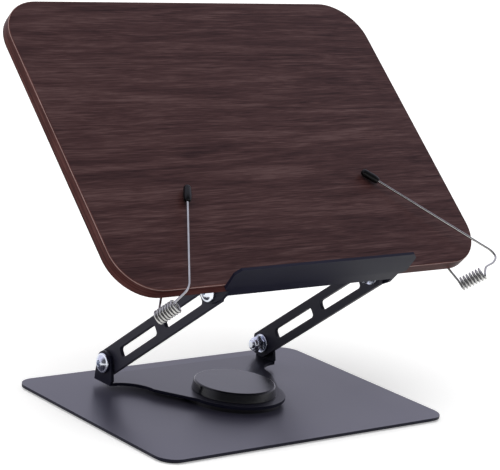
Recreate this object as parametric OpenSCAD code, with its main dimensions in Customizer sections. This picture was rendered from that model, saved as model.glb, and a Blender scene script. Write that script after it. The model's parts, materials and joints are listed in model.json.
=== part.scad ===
// Adjustable book stand: base plate, turntable, two slotted arms, tilting board and two spring page clips.
// Millimetres. X runs across the stand, Y to the back, Z up. The origin is on the table under the turntable.

/* [Base] */
// Width of the base plate
base_w = 250; // [200:1:320]
// Depth of the base plate
base_d = 178; // [150:1:240]
// Thickness of the base plate
base_t = 2; // [2:0.5:6]
// Corner radius of the base plate
base_r = 14; // [6:1:30]
// Thickness of the anti-slip pad under the base plate
pad_t = 1.5; // [1.2:0.1:4]

/* [Turntable] */
// Radius of the round front of the turntable plate
swivel_r = 36.5; // [36.5:0.5:38]
// Thickness of the turntable sheet
sheet_t = 2.2; // [1.6:0.1:3]
// Number of bearing balls
ball_count = 16; // [8:1:24]
// Distance from the turntable's axis back to the lower hinges
hinge_back = 54.5; // [50:0.5:60]
// Height of the lower hinges above the table
hinge_up = 21.2; // [21:0.2:30]

/* [Arms] */
// Distance between the two hinges of an arm
arm_len = 133; // [120:1:160]
// Width of an arm
arm_w = 19; // [17:0.5:21]
// Thickness of an arm
arm_t = 3; // [2:0.5:4]
// Angle of the arms above the table as drawn
arm_angle = 37.2; // [30:0.1:45]
// Width of the long slots in the arms
slot_w = 7.5; // [6:0.5:9]

/* [Board] */
// Width of the board
board_w = 317; // [290:1:340]
// Height of the board along its slope
board_h = 233; // [200:1:260]
// Thickness of the board
board_t = 9; // [8:0.5:12]
// Corner radius of the board
board_r = 32; // [20:1:34]
// Slope of the board as drawn
board_tilt = 41.7; // [30:0.1:55]
// How far the ledge stands out from the board's face
ledge_out = 16; // [14:0.5:26]
// Width of the ledge
ledge_w = 160; // [156:1:180]
// Upward bend of the ledge in front of the board
ledge_rise = 7; // [0:1:12]

/* [Page clips] */
// Diameter of the spring wire
wire_d = 1.6; // [1.4:0.1:1.8]
// Distance of each clip's tail from the middle of the board
clip_x = 133; // [130:1:136]
// Mean radius of a coil
coil_r = 4.2; // [3.8:0.1:4.8]
// Free gap between the turns of the left coil
coil_air_left = 0.45; // [0.45:0.05:0.7]
// Free gap between the turns of the right coil
coil_air_right = 0.8; // [0.45:0.05:0.9]
// Depth of a coil's axis below the bottom edge of the board
coil_drop = 14.5; // [13:0.5:16]
// Turn of the left coil's axis from the board's width towards the reader
coil_angle_left = 62; // [55:1:65]
// Turn of the right coil's axis from the board's width towards the reader
coil_angle_right = 47; // [42:1:55]
// Diameter of the rubber tips
tip_d = 5.6; // [5:0.1:5.8]

/* [Hidden] */
$fn = 64;

steel_grey = [0.42, 0.42, 0.46];
black_steel = [0.16, 0.16, 0.19];
zinc = [0.82, 0.83, 0.86];
rubber = [0.07, 0.07, 0.08];
nylon = [0.9, 0.9, 0.86];
walnut = [0.28, 0.2, 0.18];
band_brown = [0.36, 0.2, 0.18];

// Fits: a running fit on a pin, a slip fit on a fastener, and the gap at a sliding face
run_fit = 0.05;
slip_fit = 0.02;
face_gap = 0.05;

// Base and turntable heights
pad_inset = 3;
base_top = pad_t + base_t;
race_t = 1.5;
race_gap = 0.5;
upper_race_z = base_top + race_t + race_gap;
swivel_z = upper_race_z + race_t;
swivel_top = swivel_z + sheet_t;
ball_z = base_top + race_t + race_gap / 2;
ball_d = 2.2;
ball_track_r = 28.5;
lower_race_in = 9;
lower_race_out = 33.5;
upper_race_in = 19.5;
upper_race_out = 35;
race_rivet_r = 14;
swivel_rivet_r = 22.5;
rivet_d = 3;
rivet_head_d = 4.4;
rivet_head_t = 0.8;
rivet_count = 4;
pivot_d = 10;
pivot_flange_d = 20;
pivot_foot_d = 16;
pivot_foot_room_d = 17;
pivot_flange_t = 0.9;
pivot_play = 0.1;
cover_r = 30;
cover_top_r = 28.8;
cover_edge = 0.8;
cover_h = 7;
cover_skin = 0.8;
cover_wall = 1.2;

// Hinge stack, from the outside in: ear, friction washer, arm, washer, lock nut
ear_out_x = 74.7;
ear_in_x = ear_out_x - sheet_t;
friction_t = 0.8;
arm_out_x = ear_in_x - friction_t;
arm_in_x = arm_out_x - arm_t;
washer_t = 1.2;
nut_t = 6;
nut_ring_t = 2;
bolt_d = 6;
bolt_out_len = 1.5;
washer_x = arm_in_x - face_gap;
nut_x = washer_x - washer_t;
bolt_end_x = nut_x - nut_t - nut_ring_t - bolt_out_len;
washer_d = 14;
friction_d = 15;
flange_d = 14;
flange_t = 2;
head_d = 11;
head_t = 3.2;
socket_af = 4;
socket_deep = 2.2;
nut_af = 10;
nut_ring_d = 9;
ear_r = 8.5;
ear_foot_front = 11;
ear_foot_back = 9.5;
ear_foot_corner = 3.5;

// Turntable outline: a straight back edge, and a neck that narrows into the round front
swivel_back = hinge_back + ear_foot_back;
neck_r = 22;
neck_top = hinge_back - ear_foot_front + 1;
neck_y = neck_top - neck_r;
neck_half_w = 53;
neck_end_y = -6;
neck_end_half_w = sqrt(pow(swivel_r, 2) - pow(neck_end_y, 2)) - face_gap;
back_corner = 4;

// Arm outline along its own length, from the lower hinge
arm_end = 11;
arm_corner = 6.5;
slot_start = 18;
slot_len = 45.5;
slot_web = 10.5;
slot_corner_r = 2.5;

// Board frame: its bottom front edge, found from the upper hinge
sheet_skin = 0.6;
band_t = 1;
upper_hinge_u = 9.6;
bracket_t = 2;
hinge_clear = arm_end + 1;
upper_hinge_n = -(board_t + bracket_t + hinge_clear);
upper_hinge_y = hinge_back - arm_len * cos(arm_angle);
upper_hinge_z = hinge_up + arm_len * sin(arm_angle);
board_y = upper_hinge_y - upper_hinge_u * cos(board_tilt) + upper_hinge_n * sin(board_tilt);
board_z = upper_hinge_z - upper_hinge_u * sin(board_tilt) - upper_hinge_n * cos(board_tilt);

// Bracket and its screws
bracket_h = 36;
bracket_ear_top = 30;
bracket_ear_low_n = -board_t - 3 * bracket_t;
seam = 0.01;
ledge_chamfer = 4;
ledge_back = 4;
ledge_back_chamfer = 2;
screw_d = 3.5;
screw_head_d = 7;
screw_head_t = 1.8;
screw_in = 6;
screw_end_gap = 0.5;
screw_spots = [for (x = [-48, -16, 16, 48]) [x, 26]];

// Page clips, in the board's frame: across, up the slope, out of the face
tail_gap = 0.2;
tail_n = -(board_t + wire_d / 2 + tail_gap);
tail_top = 34;
tail_straight = 3;
tail_lean_left = 33;
tail_lean_right = 18;
coil_turns_left = 7.375;
coil_turns_right = 7.25;
rings_per_turn = 8;
ring_step = 360 / rings_per_turn;
ring_sides = 6;
wire_lead = 0.8;
clamp_w = 24;
clamp_h = 12;
clamp_t = 3.6;
clamp_u = 22;
clamp_screw_off = 8;
clamp_screw_d = 2.8;
clamp_head_d = 5;
clamp_head_t = 1.5;
tip_len = 14;
tip_grip = 9;
tip_gap = 0.3;
tip_n = tip_d / 2 + tip_gap;
bend_cut = 3;
bend_share = 0.48;
first_bend_share = 0.95;
bend_steps = 5;

// Each clip: its place across, the turn of its coil's axis, its turns, the lean of its tail, and its pitch
left_clip = [-clip_x, coil_angle_left, coil_turns_left, tail_lean_left, wire_d + coil_air_left];
right_clip = [clip_x, coil_angle_right, coil_turns_right, -tail_lean_right, wire_d + coil_air_right];
tail_bend_u = -coil_drop + wire_lead + tail_straight;
left_tip_end = [-76, 75.6, tip_n];
right_tip_end = [81, 79.2, tip_n];
left_bends = [[-119.3, -6.1, 7.8], [-114.9, -1.9, 7.7]];
right_bends = [[142.6, -13.6, 7.8], [145, -10.8, 8], [154.4, -8.2, 8], [160.1, -3.8, 7.9], [159, 1.6, 7.8]];

// Axis and sides of a coil, and the wire's middle, outward side and direction after a number of rings
function coil_axis(c) = [cos(c[1]), 0, sin(c[1])];
function coil_side(c) = [-sin(c[1]), 0, cos(c[1])];
function coil_start(c) = [c[0], -coil_drop, tail_n] + coil_r * coil_side(c);
function coil_out(c, i) = -cos(i * ring_step) * coil_side(c) - [0, sin(i * ring_step), 0];
function coil_run(c, i) = sin(i * ring_step) * coil_side(c) - [0, cos(i * ring_step), 0];
function coil_mid(c, i) = coil_start(c) + coil_r * coil_out(c, i)
  + coil_axis(c) * c[4] * i / rings_per_turn;
function coil_last(c) = c[2] * rings_per_turn;
function coil_exit(c) = coil_mid(c, coil_last(c)) + coil_run(c, coil_last(c)) * wire_lead;

// Middle of a tail at a height up the slope
function tail_at(c, u) = [c[0] + tan(c[3]) * (u - tail_bend_u), u, tail_n];

// Places children in the board's frame: x across, y up the slope, z out of the face
module on_board() {
  translate([0, board_y, board_z]) rotate([board_tilt, 0, 0]) children();
}

// Places children in the arms' frame: y runs along the arms from the lower hinges
module on_arms() {
  translate([0, hinge_back, hinge_up]) rotate([180 - arm_angle, 0, 0]) children();
}

// Turns a flat outline drawn in Y and Z into a plate that starts at x0
module plate_x(x0, t) {
  translate([x0, 0, 0]) rotate([90, 0, 90]) linear_extrude(t) children();
}

// A cylinder along X from x0 to x1
module rod_x(x0, x1, d) {
  translate([min(x0, x1), 0, 0]) rotate([0, 90, 0]) cylinder(d = d, h = abs(x1 - x0));
}

// Repeats children on the right and, mirrored, on the left
module both_sides() {
  children();
  mirror([1, 0, 0]) children();
}

module rounded_rect(w, h, r) {
  for (x = [-1, 1]) for (y = [-1, 1]) translate([x * (w / 2 - r), y * (h / 2 - r)]) circle(r);
  square([w - 2 * r, h], center = true);
  square([w, h - 2 * r], center = true);
}

module ring(outer, inner, h) {
  difference() {
    cylinder(r = outer, h = h);
    translate([0, 0, -1]) cylinder(r = inner, h = h + 2);
  }
}

// Repeats children round the turntable's axis
module around(count, radius) {
  for (i = [0 : count - 1]) rotate([0, 0, (i + 0.5) * 360 / count]) translate([radius, 0, 0]) children();
}

module base_plate() {
  color(steel_grey) difference() {
    translate([0, 0, pad_t]) linear_extrude(base_t) rounded_rect(base_w, base_d, base_r);
    translate([0, 0, pad_t - 1]) cylinder(d = pivot_d + 2 * slip_fit, h = base_t + 2);
    around(rivet_count, race_rivet_r)
      translate([0, 0, pad_t - 1]) cylinder(d = rivet_d + 2 * slip_fit, h = base_t + 2);
  }
}

// A rubber sheet glued under the base plate, hollowed where the stud's foot sits
module base_pad() {
  color(rubber) difference() {
    linear_extrude(pad_t) rounded_rect(base_w - 2 * pad_inset, base_d - 2 * pad_inset, base_r - pad_inset);
    translate([0, 0, pad_t - pivot_flange_t - slip_fit]) cylinder(d = pivot_foot_room_d, h = pad_t);
  }
}

// The track that the balls run in
module ball_track() {
  translate([0, 0, ball_z]) rotate_extrude() translate([ball_track_r, 0]) circle(d = ball_d + 2 * run_fit);
}

module lower_race() {
  color(black_steel) difference() {
    translate([0, 0, base_top]) ring(lower_race_out, lower_race_in, race_t);
    ball_track();
    around(rivet_count, race_rivet_r)
      translate([0, 0, base_top - 1]) cylinder(d = rivet_d + 2 * slip_fit, h = race_t + 2);
  }
}

module race_rivets() {
  color(zinc) around(rivet_count, race_rivet_r) {
    translate([0, 0, pad_t]) cylinder(d = rivet_d, h = base_t + race_t);
    translate([0, 0, base_top + race_t]) cylinder(d = rivet_head_d, h = rivet_head_t);
  }
}

module bearing_balls() {
  color(zinc) around(ball_count, ball_track_r) translate([0, 0, ball_z]) sphere(d = ball_d);
}

module pivot_stud() {
  color(zinc) {
    translate([0, 0, pad_t - pivot_flange_t]) cylinder(d = pivot_foot_d, h = pivot_flange_t);
    translate([0, 0, pad_t]) cylinder(d = pivot_d, h = swivel_top + pivot_play - pad_t);
    translate([0, 0, swivel_top + pivot_play]) cylinder(d = pivot_flange_d, h = pivot_flange_t);
  }
}

module swivel_outline() {
  difference() {
    union() {
      circle(swivel_r, $fn = 96);
      polygon([
        [-ear_out_x, swivel_back - back_corner], [-ear_out_x + back_corner, swivel_back],
        [ear_out_x - back_corner, swivel_back], [ear_out_x, swivel_back - back_corner],
        [ear_out_x, neck_y], [neck_half_w, neck_y], [neck_end_half_w, neck_end_y],
        [-neck_end_half_w, neck_end_y], [-neck_half_w, neck_y], [-ear_out_x, neck_y]
      ]);
    }
    for (s = [-1, 1]) translate([s * (neck_half_w + neck_r), neck_y]) circle(neck_r);
  }
}

// An ear that stands on a foot at height z0 and ends round about its hinge
module ear_outline(y, z, z0) {
  difference() {
    union() {
      polygon([[y - ear_foot_front, z0 + ear_foot_corner], [y - ear_foot_front + ear_foot_corner, z0],
        [y + ear_foot_back, z0], [y + ear_r, z], [y - ear_r, z]]);
      translate([y, z]) circle(ear_r);
    }
    translate([y, z]) circle(d = bolt_d + 2 * slip_fit);
  }
}

module swivel_plate() {
  color(steel_grey) {
    difference() {
      translate([0, 0, swivel_z]) linear_extrude(sheet_t) swivel_outline();
      translate([0, 0, swivel_z - 1]) cylinder(d = pivot_d + 2 * run_fit, h = sheet_t + 2);
      around(rivet_count, swivel_rivet_r)
        translate([0, 0, swivel_z - 1]) cylinder(d = rivet_d + 2 * slip_fit, h = sheet_t + 2);
    }
    both_sides() plate_x(ear_in_x, sheet_t) ear_outline(hinge_back, hinge_up, swivel_z);
  }
}

module upper_race() {
  color(black_steel) difference() {
    translate([0, 0, upper_race_z]) ring(upper_race_out, upper_race_in, race_t);
    ball_track();
    around(rivet_count, swivel_rivet_r)
      translate([0, 0, upper_race_z - 1]) cylinder(d = rivet_d + 2 * slip_fit, h = race_t + 2);
  }
}

module swivel_rivets() {
  color(zinc) around(rivet_count, swivel_rivet_r) {
    translate([0, 0, upper_race_z]) cylinder(d = rivet_d, h = race_t + sheet_t);
    translate([0, 0, swivel_top]) cylinder(d = rivet_head_d, h = rivet_head_t);
  }
}

// A low hollow cap that hides the stud and the rivets
module swivel_cover() {
  inner_r = cover_r - cover_wall;
  inner_h = cover_h - cover_skin;
  inner_top_r = cover_top_r - cover_wall;
  color(black_steel) translate([0, 0, swivel_top]) rotate_extrude($fn = 96) polygon([
    [inner_r, 0], [cover_r, 0], [cover_top_r, cover_h - cover_edge], [cover_top_r - cover_edge, cover_h],
    [0, cover_h], [0, inner_h], [inner_top_r, inner_h]
  ]);
}

// Flanged button-head bolt along X with a hexagon socket, on the right side
module hinge_bolt() {
  difference() {
    union() {
      rod_x(bolt_end_x, ear_out_x, bolt_d);
      rod_x(ear_out_x, ear_out_x + flange_t, flange_d);
      translate([ear_out_x + flange_t, 0, 0]) rotate([0, 90, 0]) rotate_extrude() bolt_dome();
    }
    translate([ear_out_x + flange_t + head_t - socket_deep, 0, 0]) rotate([0, 90, 0])
      linear_extrude(socket_deep + 1) circle(d = socket_af / cos(30), $fn = 6);
  }
}

module bolt_dome() {
  sphere_r = (pow(head_d / 2, 2) + pow(head_t, 2)) / (2 * head_t);
  intersection() {
    translate([0, head_t - sphere_r]) circle(sphere_r, $fn = 96);
    square([head_d / 2, head_t]);
  }
}

module friction_washer() {
  difference() {
    rod_x(arm_out_x + face_gap, ear_in_x, friction_d);
    rod_x(arm_out_x - 1, ear_in_x + 1, bolt_d + 2 * slip_fit);
  }
}

module hinge_washer() {
  difference() {
    rod_x(nut_x, washer_x, washer_d);
    rod_x(nut_x - 1, washer_x + 1, bolt_d + 2 * slip_fit);
  }
}

module lock_nut() {
  difference() {
    union() {
      translate([nut_x - nut_t, 0, 0]) rotate([0, 90, 0])
        linear_extrude(nut_t) circle(d = nut_af / cos(30), $fn = 6);
      rod_x(nut_x - nut_t - nut_ring_t, nut_x - nut_t, nut_ring_d);
    }
    rod_x(nut_x - nut_t - nut_ring_t - 1, nut_x + 1, bolt_d + 2 * slip_fit);
  }
}

module at_lower_hinge() {
  translate([0, hinge_back, hinge_up]) both_sides() children();
}

module at_upper_hinge() {
  on_board() translate([0, upper_hinge_u, upper_hinge_n]) both_sides() children();
}

module lower_hinge_bolts() { color(zinc) at_lower_hinge() hinge_bolt(); }
module lower_friction_washers() { color(nylon) at_lower_hinge() friction_washer(); }
module lower_hinge_washers() { color(zinc) at_lower_hinge() hinge_washer(); }
module lower_lock_nuts() { color(zinc) at_lower_hinge() lock_nut(); }
module upper_hinge_bolts() { color(zinc) at_upper_hinge() hinge_bolt(); }
module upper_friction_washers() { color(nylon) at_upper_hinge() friction_washer(); }
module upper_hinge_washers() { color(zinc) at_upper_hinge() hinge_washer(); }
module upper_lock_nuts() { color(zinc) at_upper_hinge() lock_nut(); }

module arm_outline() {
  difference() {
    polygon([
      [-arm_end, -arm_w / 2 + arm_corner], [-arm_end + arm_corner, -arm_w / 2],
      [arm_len + arm_end - arm_corner, -arm_w / 2], [arm_len + arm_end, -arm_w / 2 + arm_corner],
      [arm_len + arm_end, arm_w / 2 - arm_corner], [arm_len + arm_end - arm_corner, arm_w / 2],
      [-arm_end + arm_corner, arm_w / 2], [-arm_end, arm_w / 2 - arm_corner]
    ]);
    for (y = [0, arm_len]) translate([y, 0]) circle(d = bolt_d + 2 * run_fit);
    for (i = [0, 1]) translate([slot_start + slot_len / 2 + i * (slot_len + slot_web), 0])
      rounded_rect(slot_len, slot_w, slot_corner_r);
  }
}

module right_arm() { color(black_steel) on_arms() plate_x(arm_in_x, arm_t) arm_outline(); }
module left_arm() { mirror([1, 0, 0]) right_arm(); }

// The board's outline, drawn inset from its edge
module board_outline(inset) {
  translate([0, board_h / 2]) rounded_rect(board_w - 2 * inset, board_h - 2 * inset, board_r - inset);
}

// Holes for the screws that enter the back of the board
module screw_holes() {
  for (p = screw_spots) translate([p[0], p[1], -board_t - 1])
    cylinder(d = screw_d + 2 * slip_fit, h = screw_in + 1);
  for (c = [left_clip, right_clip]) on_clamp(c) at_clamp_screws() translate([0, 0, -board_t - 1])
    cylinder(d = clamp_screw_d + 2 * slip_fit, h = screw_in + 1);
}

module board_core() {
  color(walnut) on_board() difference() {
    translate([0, 0, -board_t + sheet_skin]) linear_extrude(board_t - 2 * sheet_skin) board_outline(band_t);
    screw_holes();
  }
}

module front_sheet() {
  color(walnut) on_board() translate([0, 0, -sheet_skin]) linear_extrude(sheet_skin) board_outline(band_t);
}

module back_sheet() {
  color(walnut) on_board() difference() {
    translate([0, 0, -board_t]) linear_extrude(sheet_skin) board_outline(band_t);
    screw_holes();
  }
}

module edge_band() {
  color(band_brown) on_board() translate([0, 0, -board_t]) linear_extrude(board_t) difference() {
    board_outline(0);
    board_outline(band_t);
  }
}

// The ledge, drawn across and out of the face: wide in front, narrow where it bends behind the board
module ledge_outline() {
  half = ledge_w / 2;
  polygon([
    [-half, -ledge_back + ledge_back_chamfer], [-half, ledge_out - ledge_chamfer],
    [-half + ledge_chamfer, ledge_out], [half - ledge_chamfer, ledge_out], [half, ledge_out - ledge_chamfer],
    [half, -ledge_back + ledge_back_chamfer], [half - ledge_back_chamfer, -ledge_back],
    [ear_out_x, -ledge_back], [ear_out_x, -board_t - bracket_t], [-ear_out_x, -board_t - bracket_t],
    [-ear_out_x, -ledge_back], [-half + ledge_back_chamfer, -ledge_back]
  ]);
}

// The ledge's sheet seen from its end, up the slope and out of the face: flat under the board, then bent up
module ledge_section() {
  reach = 2 * ledge_out;
  rise = reach * tan(ledge_rise);
  polygon([[-bracket_t, -board_t - bracket_t], [-bracket_t, 0], [rise - bracket_t, reach],
    [rise, reach], [0, face_gap], [0, -board_t - bracket_t]]);
}

module ledge() {
  intersection() {
    plate_x(-ledge_w / 2, ledge_w) ledge_section();
    translate([0, ledge_out, 0]) rotate([90, 0, 0]) linear_extrude(2 * ledge_out) ledge_outline();
  }
}

// An ear of the bracket, drawn up the slope and out of the face
module bracket_ear_outline() {
  difference() {
    union() {
      polygon([[-bracket_t, -board_t], [bracket_ear_top, -board_t], [bracket_ear_top, -board_t - bracket_t],
        [upper_hinge_u + ear_r, upper_hinge_n], [upper_hinge_u - ear_r, upper_hinge_n],
        [-bracket_t, bracket_ear_low_n]]);
      translate([upper_hinge_u, upper_hinge_n]) circle(ear_r);
    }
    translate([upper_hinge_u, upper_hinge_n]) circle(d = bolt_d + 2 * slip_fit);
  }
}

module board_bracket() {
  color(black_steel) on_board() {
    ledge();
    difference() {
      translate([-ear_in_x - seam, -bracket_t, -board_t - bracket_t])
        cube([2 * (ear_in_x + seam), bracket_h + bracket_t, bracket_t]);
      for (p = screw_spots) translate([p[0], p[1], -board_t - bracket_t - 1])
        cylinder(d = screw_d + 2 * slip_fit, h = bracket_t + 2);
    }
    both_sides() plate_x(ear_in_x, sheet_t) bracket_ear_outline();
  }
}

// A pan-head screw that enters the back of the board, with its head on a surface at n0
module back_screw(d, head_d, head_t, n0) {
  translate([0, 0, n0 - head_t]) cylinder(d = head_d, h = head_t);
  translate([0, 0, n0]) cylinder(d = d, h = -board_t + screw_in - screw_end_gap - n0);
}

module bracket_screws() {
  color(zinc) on_board() for (p = screw_spots) translate([p[0], p[1], 0])
    back_screw(screw_d, screw_head_d, screw_head_t, -board_t - bracket_t);
}

// Places children at the middle of a clip's clamp, turned with the tail
module on_clamp(c) {
  translate([tail_at(c, clamp_u)[0], clamp_u, 0]) rotate([0, 0, -c[3]]) children();
}

module at_clamp_screws() {
  for (k = [-1, 1]) translate([k * clamp_screw_off, 0, 0]) children();
}

// A strap over each clip's tail, with a groove for the wire
module clip_clamps() {
  color(black_steel) on_board() for (c = [left_clip, right_clip]) on_clamp(c) difference() {
    translate([-clamp_w / 2, -clamp_h / 2, -board_t - clamp_t]) cube([clamp_w, clamp_h, clamp_t]);
    translate([0, -clamp_h, tail_n]) rotate([-90, 0, 0]) cylinder(d = wire_d + 2 * slip_fit, h = 2 * clamp_h);
    at_clamp_screws() translate([0, 0, -board_t - clamp_t - 1])
      cylinder(d = clamp_screw_d + 2 * slip_fit, h = clamp_t + 2);
  }
}

module clamp_screws() {
  color(zinc) on_board() for (c = [left_clip, right_clip]) on_clamp(c) at_clamp_screws()
    back_screw(clamp_screw_d, clamp_head_d, clamp_head_t, -board_t - clamp_t);
}

// The coil's middle line with a short straight lead at each end
function coil_path(c) = concat([coil_mid(c, 0) - coil_run(c, 0) * wire_lead],
  [for (i = [0 : coil_last(c)]) coil_mid(c, i)], [coil_exit(c)]);
function coil_outs(c) = concat([coil_out(c, 0)],
  [for (i = [0 : coil_last(c)]) coil_out(c, i)], [coil_out(c, coil_last(c))]);

// Least free gap between places on the wire that are more than half a turn apart
function coil_gap(path) = min([for (i = [0 : len(path) - 1], j = [i + 1 : 1 : len(path) - 1])
  if (j - i > rings_per_turn / 2) norm(path[i] - path[j]) - wire_d]);

// One ring of points round the wire
function wire_ring(mid, out, side) = [for (k = [0 : ring_sides - 1])
  mid + wire_d / 2 * (out * cos(k * 360 / ring_sides) + side * sin(k * 360 / ring_sides))];

// An unbroken tube along a path, with triangles between its rings
module wire_tube(path, outs, sides) {
  n = len(path);
  s = ring_sides;
  points = [for (i = [0 : n - 1]) each wire_ring(path[i], outs[i], sides[i])];
  walls = [for (i = [0 : n - 2], k = [0 : s - 1]) let (a = i * s + k, b = i * s + (k + 1) % s)
    each [[a, b, a + s], [b, b + s, a + s]]];
  caps = [for (k = [1 : s - 2]) each [[0, k + 1, k], [(n - 1) * s, (n - 1) * s + k, (n - 1) * s + k + 1]]];
  polyhedron(points, concat(walls, caps));
}

module clip_coil(c) {
  path = coil_path(c);
  echo(coil_gap = coil_gap(path));
  color(zinc) on_board() wire_tube(path, coil_outs(c), [for (p = path) coil_axis(c)]);
}

// A route with each corner turned into a short curve that starts bend_cut before the corner
function toward(a, b, share) = a + (b - a) * min(bend_cut / norm(b - a), share);
function bend(a, b, c, share) = let (p = toward(b, a, share), q = toward(b, c, bend_share))
  [for (k = [0 : bend_steps]) let (f = k / bend_steps, g = 1 - f) p * g * g + b * 2 * f * g + q * f * f];
function bent(route) = let (last = len(route) - 1) concat([route[0]],
  [for (i = [1 : last - 1])
    each bend(route[i - 1], route[i], route[i + 1], i == 1 ? first_bend_share : bend_share)], [route[last]]);

// Direction of a path at a point, and the wire's side there, carried on from the ring before
function heading(path, i) = let (v = path[min(i + 1, len(path) - 1)] - path[max(i - 1, 0)]) v / norm(v);
function carried(side, t) = let (v = side - t * (side * t)) v / norm(v);
function carried_sides(path, i, side) = i == len(path) ? []
  : let (s = carried(side, heading(path, i))) concat([s], carried_sides(path, i + 1, s));

// Wire bent along a route, starting with the rings of the coil
module bent_wire(route, first_side) {
  path = bent(route);
  sides = carried_sides(path, 0, first_side);
  outs = [for (i = [0 : len(path) - 1]) cross(sides[i], heading(path, i))];
  color(zinc) on_board() wire_tube(path, outs, sides);
}

// The tail that runs up the back of the board from the coil
module clip_tail(c) {
  start = coil_path(c)[0] + [0, slip_fit, 0];
  bent_wire([start, tail_at(c, tail_bend_u), tail_at(c, tail_top)], coil_axis(c));
}

// The wire that crosses the page; it leaves along the coil's lead and stops inside the rubber tip
module clip_arm(c, bends, tip_end) {
  run = coil_run(c, coil_last(c));
  start = coil_exit(c) + run * slip_fit;
  corner = coil_exit(c) + run * bend_cut;
  along = tip_end - bends[len(bends) - 1];
  stop = tip_end - along * (tip_len - tip_grip) / norm(along);
  bent_wire(concat([start, corner], bends, [stop]), coil_axis(c));
}

// A bullet of rubber pushed over the end of the wire
module clip_tip(bends, tip_end) {
  v = tip_end - bends[len(bends) - 1];
  color(rubber) on_board() translate(tip_end) rotate([0, acos(v[2] / norm(v)), atan2(v[1], v[0])])
    translate([0, 0, -tip_len]) difference() {
      union() {
        cylinder(d = tip_d, h = tip_len - tip_d / 2);
        translate([0, 0, tip_len - tip_d / 2]) sphere(d = tip_d);
      }
      translate([0, 0, -1]) cylinder(d = wire_d + 2 * slip_fit, h = tip_grip + 1 + slip_fit);
    }
}

module left_clip_tail() { clip_tail(left_clip); }
module left_clip_coil() { clip_coil(left_clip); }
module left_clip_arm() { clip_arm(left_clip, left_bends, left_tip_end); }
module left_clip_tip() { clip_tip(left_bends, left_tip_end); }
module right_clip_tail() { clip_tail(right_clip); }
module right_clip_coil() { clip_coil(right_clip); }
module right_clip_arm() { clip_arm(right_clip, right_bends, right_tip_end); }
module right_clip_tip() { clip_tip(right_bends, right_tip_end); }

base_plate();
base_pad();
lower_race();
race_rivets();
bearing_balls();
pivot_stud();
swivel_plate();
upper_race();
swivel_rivets();
swivel_cover();
lower_hinge_bolts();
lower_friction_washers();
lower_hinge_washers();
lower_lock_nuts();
left_arm();
right_arm();
board_core();
front_sheet();
back_sheet();
edge_band();
board_bracket();
bracket_screws();
upper_hinge_bolts();
upper_friction_washers();
upper_hinge_washers();
upper_lock_nuts();
clip_clamps();
clamp_screws();
left_clip_tail();
left_clip_coil();
left_clip_arm();
left_clip_tip();
right_clip_tail();
right_clip_coil();
right_clip_arm();
right_clip_tip();
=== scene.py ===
# %% [markdown]
# # A book stand, dressed for the camera
# The imported CAD model is the skeleton of this scene: every plate, bolt and spring already has its place
# and its body. Blender adds what a drawing lacks, which is soft edges, drawn wire, wood grain and
# studio light.

# %% Load the frame
import json
import math

import bmesh
import bpy
from mathutils import Matrix, Vector


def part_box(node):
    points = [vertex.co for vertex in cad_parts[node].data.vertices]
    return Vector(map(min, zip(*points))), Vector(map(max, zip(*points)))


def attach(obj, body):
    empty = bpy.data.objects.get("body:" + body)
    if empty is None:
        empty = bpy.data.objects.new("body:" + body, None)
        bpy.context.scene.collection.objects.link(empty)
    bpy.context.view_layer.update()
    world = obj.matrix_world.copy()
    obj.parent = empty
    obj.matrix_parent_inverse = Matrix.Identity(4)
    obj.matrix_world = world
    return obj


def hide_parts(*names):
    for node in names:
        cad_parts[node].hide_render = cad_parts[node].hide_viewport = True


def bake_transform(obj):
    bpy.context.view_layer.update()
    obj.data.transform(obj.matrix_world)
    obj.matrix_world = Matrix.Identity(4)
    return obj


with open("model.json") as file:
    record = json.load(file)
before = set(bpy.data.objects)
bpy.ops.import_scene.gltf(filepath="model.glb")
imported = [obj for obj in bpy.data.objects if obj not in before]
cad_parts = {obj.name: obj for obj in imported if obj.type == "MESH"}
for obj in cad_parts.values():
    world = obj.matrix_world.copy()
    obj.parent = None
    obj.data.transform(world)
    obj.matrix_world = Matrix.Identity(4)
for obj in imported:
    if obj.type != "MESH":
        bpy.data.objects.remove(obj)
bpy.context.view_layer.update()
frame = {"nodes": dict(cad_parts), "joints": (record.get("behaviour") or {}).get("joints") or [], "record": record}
nodes = frame["nodes"]
hinges = {j["name"]: Vector(j["pos_m"]) for j in frame["joints"]}

# %% [markdown]
# The board leans, so its pieces are easiest to describe in the board's own frame: x across, u up the
# slope and n out of the face, counted from the middle of its bottom front edge. One matrix turns such a
# point into the frame of the scene. It starts from the hinge that carries the board, so both always
# agree. Sizes are written in millimetres and become metres where geometry is made.

# %% The board's own frame
MM = 0.001
BOARD_TILT = math.radians(41.7)
BOARD_H, BOARD_T = 233.0, 9.0
HINGE_U, HINGE_N = 9.6, -23.0
lean = Matrix.Rotation(BOARD_TILT, 4, "X")
board_foot = hinges["board_tilt"] - lean @ (Vector((0, HINGE_U, HINGE_N)) * MM)
BOARD = Matrix.Translation(board_foot) @ lean


def on_board(point):
    """A point given in millimetres on the board, in the frame of the scene."""
    return BOARD @ (Vector(point) * MM)


def along_board(direction):
    """A direction given in the board's frame, in the frame of the scene."""
    return (lean.to_3x3() @ Vector(direction)).normalized()


print("board starts at", [round(c, 5) for c in board_foot])

# %% [markdown]
# The camera is a long lens about a metre and a half away. Its place was worked out from the corners of
# the base and the board. The picture is turned a little about the line of sight, so the directions of
# the camera are written down as they are instead of pointing it at a target.

# %% Camera
SENSOR_MM = 36.0
IMAGE_W, FOCAL_PX = 500, 2099.49
CLIP_NEAR_M, CLIP_FAR_M = 0.05, 60
EYE = Vector((-918.10, -1071.61, 447.19)) * MM
look_right = Vector((0.77106, -0.62786, 0.10609)).normalized()
look_back = -Vector((0.63368, 0.74024, -0.22469)).normalized()
look_up = look_back.cross(look_right).normalized()
facing = Matrix((look_right, look_up, look_back)).transposed().to_4x4()

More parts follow.
